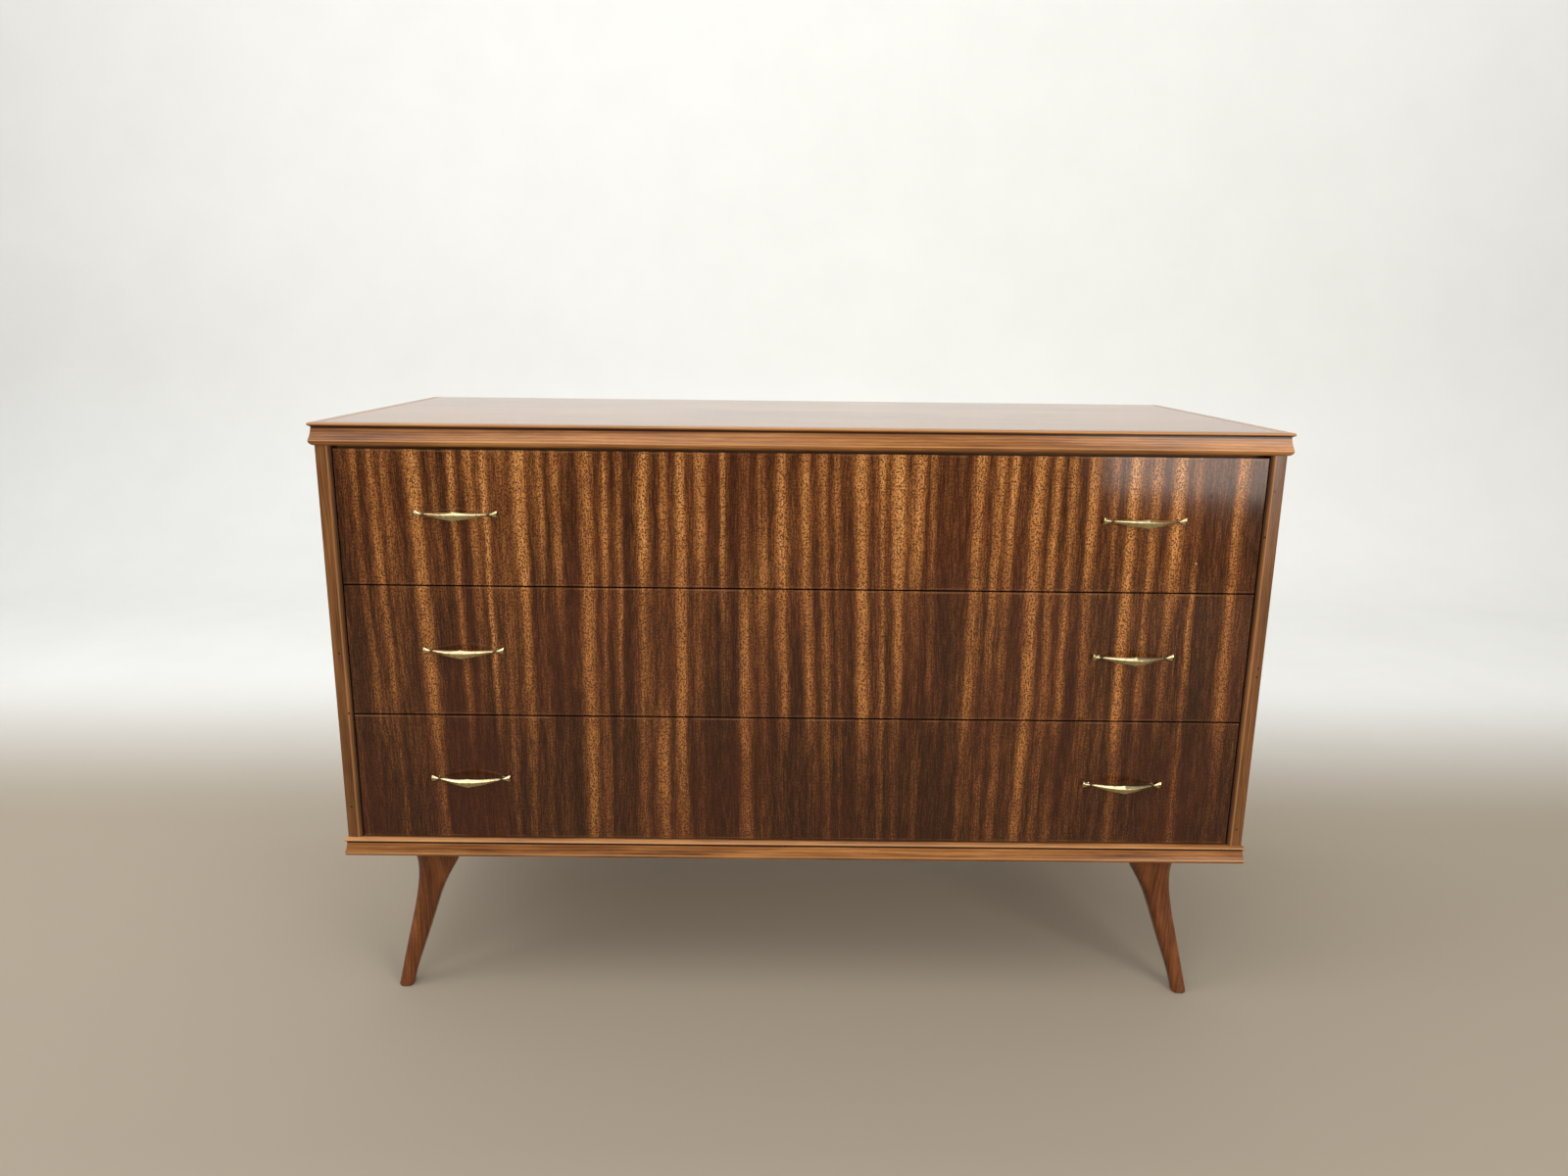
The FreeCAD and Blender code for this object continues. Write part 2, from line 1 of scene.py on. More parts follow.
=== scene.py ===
# %% [markdown]
# # A low dresser with three wide drawers
#
# The real dresser is a box of veneered boards on four splayed, tapered legs. Its drawer fronts
# are faced with ribbon-striped mahogany, its edges are solid moulded wood, and each drawer has
# two small brass bow handles.
#
# The shapes, sizes and joints already exist as a CAD model, so this lesson doesn't build the
# boards again. It could start from an empty scene, but then every board would have to be fitted
# by hand. Loading the model as a fixed frame means each new piece takes its place from it.

# %% Load the dresser
import math

import bmesh
import bpy
from mathutils import Matrix, Vector


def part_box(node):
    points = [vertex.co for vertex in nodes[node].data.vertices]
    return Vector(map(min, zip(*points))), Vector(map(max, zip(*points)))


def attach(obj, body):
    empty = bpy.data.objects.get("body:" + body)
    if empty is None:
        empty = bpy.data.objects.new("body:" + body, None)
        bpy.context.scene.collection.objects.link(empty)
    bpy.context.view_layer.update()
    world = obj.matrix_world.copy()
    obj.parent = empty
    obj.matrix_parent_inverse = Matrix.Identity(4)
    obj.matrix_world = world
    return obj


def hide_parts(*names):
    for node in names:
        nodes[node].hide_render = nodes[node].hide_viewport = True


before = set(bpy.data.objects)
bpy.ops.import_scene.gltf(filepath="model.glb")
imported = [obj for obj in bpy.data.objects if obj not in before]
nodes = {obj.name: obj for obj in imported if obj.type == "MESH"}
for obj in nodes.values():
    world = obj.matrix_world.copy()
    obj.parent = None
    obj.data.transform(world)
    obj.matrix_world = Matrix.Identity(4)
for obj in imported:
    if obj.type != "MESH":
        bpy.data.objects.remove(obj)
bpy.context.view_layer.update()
LEVELS = ("lower", "middle", "upper")
SIDES = ("left", "right")

# %% [markdown]
# ## The camera
#
# The dresser is seen from a little above its top, almost straight on, with a wide lens from
# close by, so its sides slope towards each other. A camera could be aimed with a constraint,
# but four plain values say the same: where it stands, how far it looks down, how far it turns
# and how far it leans.

# %% Place the camera
MM = 0.001

camera_data = bpy.data.cameras.new("camera")
camera_data.lens = 24.65
camera_data.sensor_width = 36
camera_data.shift_x = 0.0028
camera_data.shift_y = -0.0053
camera = bpy.data.objects.new("camera", camera_data)
bpy.context.scene.collection.objects.link(camera)
bpy.context.scene.camera = camera

looks_down = math.radians(13.2)
turn = math.radians(-0.215)
lean = math.radians(0.657)
camera.location = Vector((-31.4, -1610, 925.6)) * MM
camera.rotation_euler = (
    Matrix.Rotation(turn, 3, "Z")
    @ Matrix.Rotation(math.radians(90) - looks_down, 3, "X")
    @ Matrix.Rotation(lean, 3, "Z")
).to_euler()
print("camera at", [round(v, 3) for v in camera.location])

# %% [markdown]
# ## The studio
#
# A glossy dresser shows what stands around it, so the room matters as much as the varnish. The
# floor and the wall behind are one pale sheet with a rounded foot, as the paper roll of a studio
# is: there is no line where floor meets wall. It could be two planes, but their corner
# would show in the glossy top. The sheet is a strip of faces swept from one outline.

# %% Roll out the pale floor and wall
def new_object(name, mesh):
    made = bpy.data.objects.new(name, mesh)
    bpy.context.scene.collection.objects.link(made)
    return made


def paper_roll(name, front, wall, height, half_width, radius, steps):
    """A floor that runs back, turns up along an arc and becomes a wall."""
    outline = [Vector((0, front, 0))]
    for step in range(steps + 1):
        angle = math.radians(90) * step / steps
        y = wall - radius + radius * math.sin(angle)
        outline.append(Vector((0, y, radius - radius * math.cos(angle))))
    outline.append(Vector((0, wall, height)))
    shape = bmesh.new()
    edges = []
    for side in (-1, 1):
        edges.append([shape.verts.new(p + Vector((side * half_width, 0, 0))) for p in outline])
    for left, right in zip(zip(edges[0], edges[0][1:]), zip(edges[1], edges[1][1:])):
        shape.faces.new((left[0], right[0], right[1], left[1]))
    mesh = bpy.data.meshes.new(name)
    shape.to_mesh(mesh)
    shape.free()
    for face in mesh.polygons:
        face.use_smooth = True
    return new_object(name, mesh)


floor = paper_roll("floor", front=-12, wall=2.7, height=7, half_width=14, radius=0.8, steps=24)
print("floor and wall:", [round(side, 2) for side in floor.dimensions], "m")

# %% [markdown]
# ## The light
#
# The real room has a bright opening to the right of the camera, whose haze lies on the upper
# right corner of the top drawer, and soft light from everywhere else. Point lights would give
# hard shadows; wide area lights give soft ones and show in the varnish as broad pale shapes. The
# doorway makes the haze, the window on the left and the wide light overhead draw bright lines
# along the brass, and a long light behind the dresser turns the wall white without touching it.

# %% Hang the lights
def soft_light(name, place, target, width, height, power, tint=(1, 1, 1)):
    """A soft rectangular light that faces its target and isn't seen itself."""
    data = bpy.data.lights.new(name, "AREA")
    data.shape = "RECTANGLE"
    data.size = width
    data.size_y = height
    data.energy = power
    data.color = tint
    lamp = new_object(name, data)
    lamp.location = place
    lamp.rotation_euler = (Vector(target) - Vector(place)).to_track_quat("-Z", "Y").to_euler()
    lamp.visible_camera = False


WARM = (1, 0.94, 0.86)
soft_light(
    "doorway", (1.90, -2.70, 1.23), (0.5, -0.2, 1.23), width=1.46, height=1.8, power=62, tint=WARM,
)
soft_light("front_fill", (-1.1, -3.2, 2.3), (-0.1, -0.2, 0.7), width=2.4, height=1.4, power=26)
soft_light("ceiling", (-0.8, -0.8, 2.9), (-0.2, -0.1, 0.6), width=3.8, height=2.4, power=40)
soft_light("left_window", (-2.6, -0.9, 1.9), (0, -0.2, 0.6), width=1.4, height=1.2, power=20)
soft_light("wall_wash", (0, 0.9, 3.2), (0, 2.6, 0.6), width=9.0, height=0.8, power=58)

world = bpy.data.worlds.new("room")
bpy.context.scene.world = world
world.use_nodes = True
air = world.node_tree.nodes["Background"]
air.inputs["Color"].default_value = (0.93, 0.95, 0.96, 1)
air.inputs["Strength"].default_value = 0.47
bpy.context.scene.view_settings.view_transform = "Standard"
print("5 soft lights and a pale room")

# %% [markdown]
# ## Writing a finish as arithmetic
#
# A procedural material is a sum of patterns. It could be wired by hand in the node editor, and
# in code each wire would be a line of its own. Here one small class stands for a node's output
# and builds Math nodes when Python adds or multiplies it, so a pattern reads as a formula.

# %% A value that changes over a surface
class Value:
    """The output of a shader node; arithmetic on it adds Math nodes."""

    def __init__(self, finish, socket):
        self.finish = finish
        self.socket = socket

    def math(self, operation, *numbers):
        return self.finish.node("ShaderNodeMath", {"operation": operation}, numbers)

    def __add__(self, other):
        return self.math("ADD", self, other)

    def __sub__(self, other):
        return self.math("SUBTRACT", self, other)

    def __rsub__(self, other):
        return self.math("SUBTRACT", other, self)

    def __mul__(self, other):
        return self.math("MULTIPLY", self, other)

    def __gt__(self, other):
        return self.math("GREATER_THAN", self, other)

    def __abs__(self):
        return self.math("ABSOLUTE", self)

    def sine(self):
        return self.math("SINE", self)

    def root(self):
        return self.math("SQRT", self)

    def least(self, other):
        return self.math("MINIMUM", self, other)

    def most(self, other):
        return self.math("MAXIMUM", self, other)

    __radd__ = __add__
    __rmul__ = __mul__


print("values can be added, multiplied and compared")

# %% [markdown]
# ## Screen colours
#
# Painters name a colour by what they see, a shader by how much light it sends back. The two are
# joined by a curve. Typing linear numbers would work, but nobody can picture them, so colours
# are written as seen, from 0 to 255, and bent here.

# %% A colour as the shader wants it
def linear(part):
    """One part of a screen colour, 0 to 255, as an amount of light."""
    if part <= 10:
        return part / 3295
    return ((part / 255 + 0.055) / 1.055) ** 2.4


def colour(red, green, blue):
    return (linear(red), linear(green), linear(blue), 1)


print("middle grey is", round(linear(118), 2), "of the light")

# %% [markdown]
# ## A finish and its nodes
#
# A second class owns one material. Its general method makes any node, its settings first and its
# sockets next, and the short methods after it name the few patterns that the dresser needs:
# cloudy noise, smooth steps, bands, round spots, ramps and mixes. Places are in millimetres on
# the piece, so a groove or a pore can be given its real size.

# %% One finish, one material
class Finish:
    """A material whose patterns are written in millimetres on the piece."""

    def __init__(self, name, **fixed):
        self.material = bpy.data.materials.new(name)
        self.material.use_nodes = True
        self.tree = self.material.node_tree
        self.shader = self.tree.nodes["Principled BSDF"]
        for socket, value in fixed.items():
            self.shader.inputs[socket.replace("_", " ")].default_value = value

    def node(self, kind, settings=None, inputs=(), output=0):
        """One node: its settings, then the values or links of its sockets."""
        made = self.tree.nodes.new(kind)
        for name, value in (settings or {}).items():
            if name == "stops":
                self.set_stops(made.color_ramp, value)
            else:
                setattr(made, name, value)
        named = inputs.items() if isinstance(inputs, dict) else enumerate(inputs)
        for key, value in named:
            self.feed(made.inputs[key], value)
        return Value(self, made.outputs[output])

    def feed(self, socket, value):
        if isinstance(value, Value):
            self.tree.links.new(value.socket, socket)
        else:
            socket.default_value = value

    def set_stops(self, ramp, stops):
        while len(ramp.elements) < len(stops):
            ramp.elements.new(1)
        for element, (position, shade) in zip(ramp.elements, stops):
            element.position = position
            element.color = shade

    def wear(self, base, roughness, height, depth):
        """Joins the finished patterns to the shader; height is a bump of that depth in metres."""
        bump = self.node("ShaderNodeBump", {}, {"Height": height, "Distance": depth})
        self.feed(self.shader.inputs["Base Color"], base)
        self.feed(self.shader.inputs["Roughness"], roughness)
        self.feed(self.shader.inputs["Normal"], bump)
        return self.material

    def place(self):
        """Where a point is on its piece, in millimetres."""
        spot = self.node("ShaderNodeTexCoord", output="Object")
        return self.node("ShaderNodeVectorMath", {"operation": "SCALE"}, {0: spot, "Scale": 1000})

    def parts(self, vector):
        """The x, y and z of a vector."""
        first = self.node("ShaderNodeSeparateXYZ", {}, [vector])
        return [Value(self, out) for out in first.socket.node.outputs]

    def vector(self, x, y, z):
        return self.node("ShaderNodeCombineXYZ", {}, [x, y, z])

    def noise(self, place, size, detail=2, rough=0.5):
        """A cloudy pattern, 0 to 1, whose patches are about size long in each direction."""
        steps = tuple(1 / side for side in size)
        scaled = self.node("ShaderNodeVectorMath", {"operation": "MULTIPLY"}, [place, steps])
        inputs = {"Vector": scaled, "Scale": 1, "Detail": detail, "Roughness": rough}
        return self.node("ShaderNodeTexNoise", {}, inputs)

    def rise(self, value, low, high):
        """0 below low, 1 above high, and a smooth step between them."""
        smooth = {"interpolation_type": "SMOOTHSTEP"}
        return self.node("ShaderNodeMapRange", smooth, {0: value, 1: low, 2: high})

    def spot(self, place, centre, radius):
        """1 within a round mark about a point, 0 outside it."""
        settings = {"operation": "DISTANCE"}
        apart = self.node("ShaderNodeVectorMath", settings, [place, centre], 1)
        return 1 - self.rise(apart, radius * 0.4, radius)

    def band(self, value, middle, half):
        """1 where a value is at the middle of a band, 0 beyond its half width."""
        return 1 - self.rise(abs(value - middle), half * 0.3, half)

    def shades(self, value, *stops):
        """A colour ramp."""
        return self.node("ShaderNodeValToRGB", {"stops": stops}, [value])

    def mix(self, share, first, second):
        """Two colours, mixed by a share from 0 to 1."""
        sockets = {0: share, 6: first, 7: second}
        return self.node("ShaderNodeMix", {"data_type": "RGBA"}, sockets, 2)


print("shader arithmetic is ready")

# %% [markdown]
# ## Paper for the floor and wall
#
# The floor is a warm pale grey and the wall nearly white. One even grey would do, but a floor as
# bright as the wall would whiten the varnish that mirrors it. The sheet is therefore darker
# under the dresser and grows whiter the further back it lies, with the faint mottling of real
# paper.

# %% Tint the paper
def pale_paper():
    paper = Finish("pale_paper", IOR=1.3)
    place = paper.place()
    back = paper.rise(paper.parts(place)[1], 250, 1200)
    mottle = paper.noise(place, (260, 260, 260), 4, 0.6)
    base = paper.mix(back, colour(160, 148, 131), colour(236, 236, 233))
    base = paper.mix(mottle * 0.12, base, colour(150, 146, 140))
    return paper.wear(base, mottle * 0.1 + 0.75, mottle, 0.0004)


floor.data.materials.append(pale_paper())
print("the paper has", len(floor.data.materials[0].node_tree.nodes), "nodes")

# %% [markdown]
# ## Ribbon-striped mahogany
#
# The drawer fronts are quarter-sawn mahogany veneer. Its fibres lean one way and then the other
# as the tree grows, so upright ribbons look light and dark by turns. A light ribbon is peppered
# with short dark pores; a dark one shows fine upright lines. Wave textures would repeat too
# evenly. Noise stretched along the grain gives irregular ribbons, and a colour ramp across the
# width puts the strongest ones where the real sheet has them. The three drawers were cut from
# one sheet, so the pattern is a function of place and runs on from drawer to drawer.

# %% The ribbons of the sheet
# Each ribbon: its place across the dresser and its half width in mm, then how strongly it shines
# on the upper, the middle and the lower drawer.
RIBBONS = [
    (-567, 4, 0.7, 0.7, 0.1), (-545, 5, 0.6, 0.5, 0.3), (-528, 4, 0.6, 0.1, 0),
    (-491, 7, 1, 1, 0.5), (-466, 4, 0.5, 0.3, 0.1), (-445, 5, 0.8, 0.6, 0.1),
    (-422, 5, 0.7, 0.4, 0), (-405, 4, 0.7, 0.8, 0.1), (-384, 4, 0.3, 0.3, 0.4),
    (-360, 7, 0.9, 0.6, 0.5), (-336, 6, 0.7, 0.4, 0.5), (-314, 6, 0.8, 0.3, 0.5),
    (-277, 8, 1, 1, 1), (-256, 5, 0.7, 0.4, 0.5), (-236, 4, 0.6, 0.7, 0.2),
    (-206, 7, 0.9, 0.6, 0.3), (-178, 6, 0.7, 0.1, 0.8), (-154, 8, 1, 1, 0.6),
    (-130, 7, 0.9, 0.4, 0.1), (-99, 4, 0.8, 0.3, 0.2), (-72, 6, 0.4, 0.9, 0.8),
    (-48, 5, 0.5, 0.5, 0.1), (-21, 6, 1, 0.8, 0.2), (11, 5, 0.8, 0.8, 0.1),
    (33, 5, 0.7, 0.7, 0.4), (52, 4, 0.5, 0.3, 0.3), (83, 7, 1, 1, 0.4), (110, 4, 0.6, 0.5, 0.3),
    (132, 6, 0.9, 0.7, 0.2), (156, 6, 0.8, 0.3, 0.2), (172, 4, 0.7, 0.7, 0.1),
    (228, 6, 0.9, 0.6, 0.3), (254, 5, 0.6, 0.4, 0.4), (272, 6, 0.9, 0.4, 0.4),
    (307, 8, 1, 1, 0.8), (329, 6, 0.8, 0.5, 0.3), (350, 5, 0.6, 0.6, 0.2),
    (377, 7, 0.8, 0.6, 0.1), (407, 5, 0.5, 0.1, 0.3), (430, 7, 0.9, 1, 0.5),
    (457, 5, 0.7, 0.5, 0.1), (488, 7, 0.9, 0.4, 0.1), (516, 5, 0.2, 0.8, 0.7),
    (567, 6, 0.8, 0.7, 0.1),
]
PER_RAMP = 10  # a colour ramp has room for 32 stops, and each ribbon takes three
SHEET_REACH = 640  # mm to either side that the ramps cover
# Ribbons lean as they run down the sheet: place across, and drift to the right from top to foot.
LEANS = [
    (-500, 14), (-290, 0), (-235, -8), (-150, 0), (30, 16), (120, 14), (235, -9), (330, -4), (450, 2),
]
LEAN_LIMIT = 20
STRAIGHT_AT = 0.4  # how far down the sheet the listed places hold, as a share of its height
RIBBON_EDGE = 1.7  # half widths from a ribbon's middle to where it has faded out


def along_sheet(x):
    """A place across the sheet as a share of a ramp's length."""
    return (x + SHEET_REACH) * (1 / (2 * SHEET_REACH))


def ribbon_shine(wood, across, shares):
    """How strongly the listed ribbons shine, each channel of a ramp serving one drawer."""
    shine = 0
    for start in range(0, len(RIBBONS), PER_RAMP):
        stops = []
        for middle, half, *strengths in RIBBONS[start:start + PER_RAMP]:
            stops += [
                (along_sheet(middle - RIBBON_EDGE * half), (0, 0, 0, 1)),
                (along_sheet(middle), (*strengths, 1)),
                (along_sheet(middle + RIBBON_EDGE * half), (0, 0, 0, 1)),
            ]
        stops.sort(key=lambda stop: stop[0])
        ramp = wood.shades(along_sheet(across), *stops)
        drawers = wood.parts(ramp)
        part = sum(share * drawer for share, drawer in zip(shares, drawers))
        shine = part if start == 0 else shine.most(part)
    return shine


def sheet_lean(wood, x, down):
    """How far the ribbons have drifted sideways at x, down being 0 at the top and 1 at the foot."""
    stops = []
    for place, lean in LEANS:
        grey = 0.5 + lean / (2 * LEAN_LIMIT)
        stops.append((along_sheet(place), (grey, grey, grey, 1)))
    drift = wood.shades(along_sheet(x), *stops)
    return (drift * (2 * LEAN_LIMIT) - LEAN_LIMIT) * (down - STRAIGHT_AT)


print(len(RIBBONS), "light ribbons on", math.ceil(len(RIBBONS) / PER_RAMP), "ramps")

# %% [markdown]
# ## Painted light and wear on the drawer fronts
#
# The long edges of a drawer front get a painted highlight, partly worn varnish, and its sides get a
# dark band, painted shade where the gaps between the boards are dark, over stained edge wood. Wear and
# light could be painted on each board. Bands laid a millimetre or two from the board's own edges,
# broken up by noise, follow the boards instead if their sizes change. A dent and a nick on the right
# are round spots, and the back of the board is bare.

# %% Painted highlight, painted shade and wear on the edges of a drawer front
# Where the two marks are, across the dresser and up from the floor, in mm.
DENT = (528, 721)
NICK = (517, 632)


def edges_with_painted_light_and_wear(wood, base, place):
    """Painted highlight and wear on the arrises, painted shade on the sides behind them, two marks,
    and bare wood on the back of a front.
    """
    _, y, z = wood.parts(place)
    wear = wood.rise(wood.noise(place, (46, 46, 9), 3, 0.6), 0.38, 0.62)
    fronts = [[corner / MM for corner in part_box(f"{level}_drawer_front")] for level in LEVELS]
    edges = 0
    for low, high in fronts:
        edges = edges + wood.band(z, high.z - 1.7, 1.3) + wood.band(z, low.z + 1.7, 1.2) * 0.5
    # A painted highlight along the top and bottom arrises, partly worn varnish, broken up by noise.
    highlight_and_wear = edges.least(1) * wear * 0.3
    base = wood.mix(highlight_and_wear, base, colour(160, 116, 82))
    # The three fronts stand at one depth, so the last one serves for all.
    face, back = fronts[-1][0].y, fronts[-1][1].y
    # Painted shade on the first millimetres of each side, where the gaps are dark; plain edge wood
    # lies behind it.
    base = wood.mix(wood.rise(y, face + 0.12, face + 0.6), base, colour(30, 16, 9))
    base = wood.mix(wood.rise(y, face + 2.5, face + 5), base, colour(88, 54, 31))
    base = wood.mix(wood.rise(y, back - 1.0, back - 0.4), base, colour(152, 112, 72))
    dent = wood.spot(place, (DENT[0], face, DENT[1]), 3.6)
    base = wood.mix(dent * 0.9, base, colour(24, 12, 8))
    nick = wood.spot(place, (NICK[0], face, NICK[1]), 1.8)
    return wood.mix(nick * 0.6, base, colour(206, 168, 128))


print("dent at", DENT, "and nick at", NICK)

# %% [markdown]
# ## The veneer itself
#
# Patterns of three sizes make the figure: the listed ribbons, soft bands between them, and fine
# lines. They could be mixed as colours, but then their shades would drift apart. Here they are
# added up to one tone first, and one ramp from dark to light turns the tone into colour. Only the
# short dark pores are mixed in after it. Two leaves of veneer meet left of the middle: the bands
# are shifted there, and a fine dark line marks the joint.

# %% Veneer for the drawer fronts
LEAF_JOINT = -97  # mm across the dresser
LEAF_SHIFT = 900  # mm that the second leaf's noise is moved, so that its bands differ


def ribbon_veneer():
    wood = Finish("ribbon_veneer", IOR=1.45, Specular_IOR_Level=0.3)
    place = wood.place()
    x, y, z = wood.parts(place)
    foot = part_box("lower_drawer_front")[0].z / MM
    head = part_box("upper_drawer_front")[1].z / MM
    down = (head - z) * (1 / (head - foot))
    below_upper = wood.rise(down, 0.2, 0.42)
    below_middle = wood.rise(down, 0.58, 0.8)
    shares = (1 - below_upper, below_upper * (1 - below_middle), below_middle)

    second_leaf = (x > LEAF_JOINT) * LEAF_SHIFT
    sway = wood.noise(place, (150, 900, 300), 2) - 0.5
    ripple = wood.noise(place, (26, 900, 70), 2) - 0.5
    across = x - sheet_lean(wood, x, down) + sway * 8 + ripple * 5
    sheet = wood.vector(across, second_leaf, z)

    chosen = ribbon_shine(wood, across, shares)
    broad = wood.noise(sheet, (70, 1, 500), 2)
    bands = wood.noise(sheet, (11, 1, 260), 2, 0.55)
    fading = wood.noise(sheet, (24, 1, 90), 2, 0.6)
    figure = chosen * (0.4 + fading * 0.7) + broad * 0.7 + bands * 0.55 - 0.42
    light = wood.rise(figure, -0.08, 0.92)

    pores = wood.noise(place, (1.9, 9, 2.6), 1, 0.5)
    lines = wood.noise(wood.vector(across, y, z), (1.5, 9, 30), 3, 0.65)
    speck = 1 - wood.rise(pores, 0.44, 0.52)
    line = wood.rise(lines, 0.38, 0.62)

    contrast = 0.26 - light * 0.12
    # The tone grows darker towards the foot of the sheet: painted shade, as if light falls from above.
    tone = light * (0.70 - down * 0.12) + (line - 0.5) * contrast + bands * 0.14 - down * 0.13
    base = wood.shades(
        tone,
        (0.00, colour(50, 28, 14)), (0.20, colour(80, 46, 24)), (0.42, colour(124, 76, 39)),
        (0.66, colour(178, 117, 62)), (0.9, colour(224, 162, 98)),
    )
    peppered = speck * (0.52 + light * 0.32)
    base = wood.mix(peppered, base, wood.mix(light, colour(30, 15, 7), colour(58, 30, 13)))
    tint = wood.noise(place, (80, 900, 240), 2)
    base = wood.mix(wood.rise(tint, 0.4, 0.7) * 0.18, base, colour(88, 38, 24))
    seam = 1 - wood.rise(abs(x - LEAF_JOINT), 0.2, 0.7)
    base = wood.mix(seam * 0.55, base, colour(36, 18, 10))
    base = edges_with_painted_light_and_wear(wood, base, place)
    height = lines * 0.5 + pores * 0.5
    roughness = 0.055 + speck * 0.03 + wood.noise(place, (60, 60, 40), 3) * 0.06
    return wood.wear(base, roughness, height, 0.000012)


RIBBON_VENEER = ribbon_veneer()
print("ribbon veneer:", len(RIBBON_VENEER.node_tree.nodes), "nodes")

# %% [markdown]
# ## Solid wood
#
# The mouldings, stiles and legs are solid wood whose growth rings run as long lines. A ring is
# a surface at one distance from the middle of the tree, so the finish measures that distance
# and takes its sine: on a flat face the rings turn into long curved lines by themselves. The
# same function serves every solid piece, with the grain turned along its length.

# %% Solid wood along any axis
TURNS = {"x": (1, 2, 0), "y": (0, 2, 1), "z": (0, 1, 2)}  # side, other side, length
PITH = (70, -160)  # where the middle of the tree is, in mm across the grain
GRAIN_DEPTH = 0.00002


def solid_wood(name, along, dark, middle, light, gloss, ring=3.2, bold=0.1, shine=1.45):
    """Wood with its grain along x, y or z; ring is the spacing of its growth rings in mm."""
    wood = Finish(name, IOR=shine, Specular_IOR_Level=0.36)
    parts = wood.parts(wood.place())
    side, other, length = (parts[axis] for axis in TURNS[along])
    grain = wood.vector(side, other, length)
    drift = wood.noise(grain, (45, 45, 420), 2) - 0.5
    wander = wood.noise(grain, (14, 14, 150), 2) - 0.5
    from_side = side + drift * 40 + wander * 8 - PITH[0]
    from_other = other + drift * 26 - PITH[1]
    distance = (from_side * from_side + from_other * from_other).root()
    rings = (distance * (2 * math.pi / ring)).sine() * 0.5 + 0.5
    cloud = wood.noise(grain, (16, 16, 200), 3, 0.6)
    fibre = wood.noise(grain, (0.7, 0.7, 26), 3, 0.65)
    pore = wood.rise(wood.noise(grain, (0.5, 0.5, 5), 2, 0.6), 0.60, 0.68)
    tone = cloud * 0.75 + rings * bold + fibre * 0.28
    base = wood.shades(tone, (0.36, dark), (0.56, middle), (0.80, light))
    base = wood.mix(pore * 0.45, base, dark)
    height = fibre * 0.6 + rings * 0.4
    roughness = gloss + cloud * 0.12 + pore * 0.1
    return wood, base, roughness, height


def plain_wood(*facts, depth=GRAIN_DEPTH, **more):
    wood, *patterns = solid_wood(*facts, **more)
    return wood.wear(*patterns, depth)


print("solid wood runs along", ", ".join(TURNS))

# %% [markdown]
# ## Mouldings and stiles
#
# The mouldings get painted shade in their grooves and a painted highlight, partly worn varnish, on
# their arrises. The stiles get a painted highlight along their ridge, painted shade on their inner
# bevel beside the drawers, and filled nail holes. The CAD mouldings already have the grooves, so the
# finish only has to find them: each mark is a band at a given distance below its moulding's upper
# edge. Soft brush marks would be easier to place, but wouldn't follow the profile round the corners.

# %% Painted shade, painted highlights and nail holes
MOULDING_SHADES = (colour(88, 49, 22), colour(142, 91, 47), colour(188, 130, 74))
STILE_SHADES = (colour(66, 38, 17), colour(106, 66, 33), colour(144, 97, 52))
# Marks along a moulding, painted shade in grooves and painted highlight on arrises: which one, how far
# below its upper edge and half its width, in mm.
SHADED_GROOVES = [("top", 5.6, 2.3), ("plinth", 7.0, 2.2)]
HIGHLIGHTED_ARRISES = [("top", 1.3, 1.6), ("plinth", 3.2, 1.6), ("top", 22.4, 1.3), ("plinth", 22.0, 1.3)]
# Nail holes on the stiles: across the dresser and up from the floor, in mm.
NAIL_HOLES = [
    (-610, 498), (-604, 414), (-611, 278), (608, 728), (602, 668), (614, 490), (613, 478), (610, 257),
]


def moulding_wood(name, along):
    wood, base, roughness, height = solid_wood(name, along, *MOULDING_SHADES, 0.16)
    up = wood.parts(wood.place())[2]
    upper_edge = {
        "top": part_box("top_moulding_front")[1].z / MM,
        "plinth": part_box("plinth_moulding_front")[1].z / MM,
    }
    highlight_and_wear = sum(wood.band(up, upper_edge[which] - below, half) for which, below, half in HIGHLIGHTED_ARRISES)
    groove_shade = sum(wood.band(up, upper_edge[which] - below, half) for which, below, half in SHADED_GROOVES)
    # A painted highlight on the arrises, partly worn varnish.
    base = wood.mix(highlight_and_wear * 0.4, base, colour(204, 154, 98))
    # Painted shade in the grooves.
    base = wood.mix(groove_shade * 0.95, base, colour(36, 19, 9))
    return wood.wear(base, roughness, height, GRAIN_DEPTH)


def stile_wood(name):
    wood, base, roughness, height = solid_wood(name, "z", *STILE_SHADES, 0.18)
    place = wood.place()
    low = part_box("front_stile_left")[0] / MM
    outer = abs(low.x)
    across = abs(wood.parts(place)[0])
    # A painted highlight along the ridge of the stile.
    base = wood.mix(wood.band(across, outer - 15.6, 1.5) * 0.4, base, colour(186, 134, 88))
    # Painted shade on the inner bevel, beside the gap to the drawers.
    inner = 1 - wood.rise(across, outer - 20.2, outer - 17.5)
    base = wood.mix(inner * 0.8, base, colour(34, 18, 10))
    for hole_x, hole_z in NAIL_HOLES:
        hole = wood.spot(place, (hole_x, low.y + 0.6, hole_z), 2.2)
        base = wood.mix(hole * 0.9, base, colour(40, 20, 11))
    return wood.wear(base, roughness, height, GRAIN_DEPTH)


print(len(HIGHLIGHTED_ARRISES), "rubbed arrises,", len(SHADED_GROOVES), "grooves and", len(NAIL_HOLES), "nail holes")

# %% [markdown]
# ## All the woods
#
# The rest are plain boards. Every one could have its own material, but they share one function
# and differ in three shades, a gloss and the direction of the grain, so a table is enough. Sheet
# material is the same wood with wide, faint rings.

